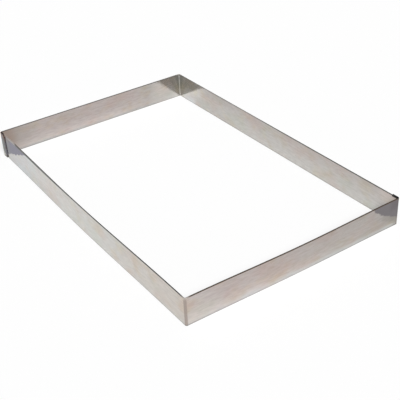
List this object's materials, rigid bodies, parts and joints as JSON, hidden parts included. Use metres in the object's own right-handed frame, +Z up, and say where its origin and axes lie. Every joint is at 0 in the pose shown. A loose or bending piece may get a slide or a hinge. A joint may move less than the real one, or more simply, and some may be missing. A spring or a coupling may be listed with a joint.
{
  "type": "opera cake frame",
  "caption": "Rectangular open pastry frame with no bottom: bent sheet-steel strips lapped at opposite corners and closed by welded beads.",
  "frame": {"origin": "middle of the frame's 570 x 370 mm outline in plan, between its corners, on the plane that its lower edge rests on", "axes": "+X along the long walls, +Y along the short walls, +Z up through the open top"},
  "size_m": [0.5732, 0.3752, 0.045],
  "materials": {
    "strip_steel": "satin cold-rolled stainless sheet with a fine grain along the strip, soft reflections and a faint straw and rose tint",
    "weld_steel": "rippled bead darkened by the heat of welding, brown to straw around it"
  },
  "bodies": {
    "root": {"front_strip": "strip_steel", "rear_strip": "strip_steel", "left_weld_bead": "weld_steel", "right_weld_bead": "weld_steel"}
  },
  "joints": []
}
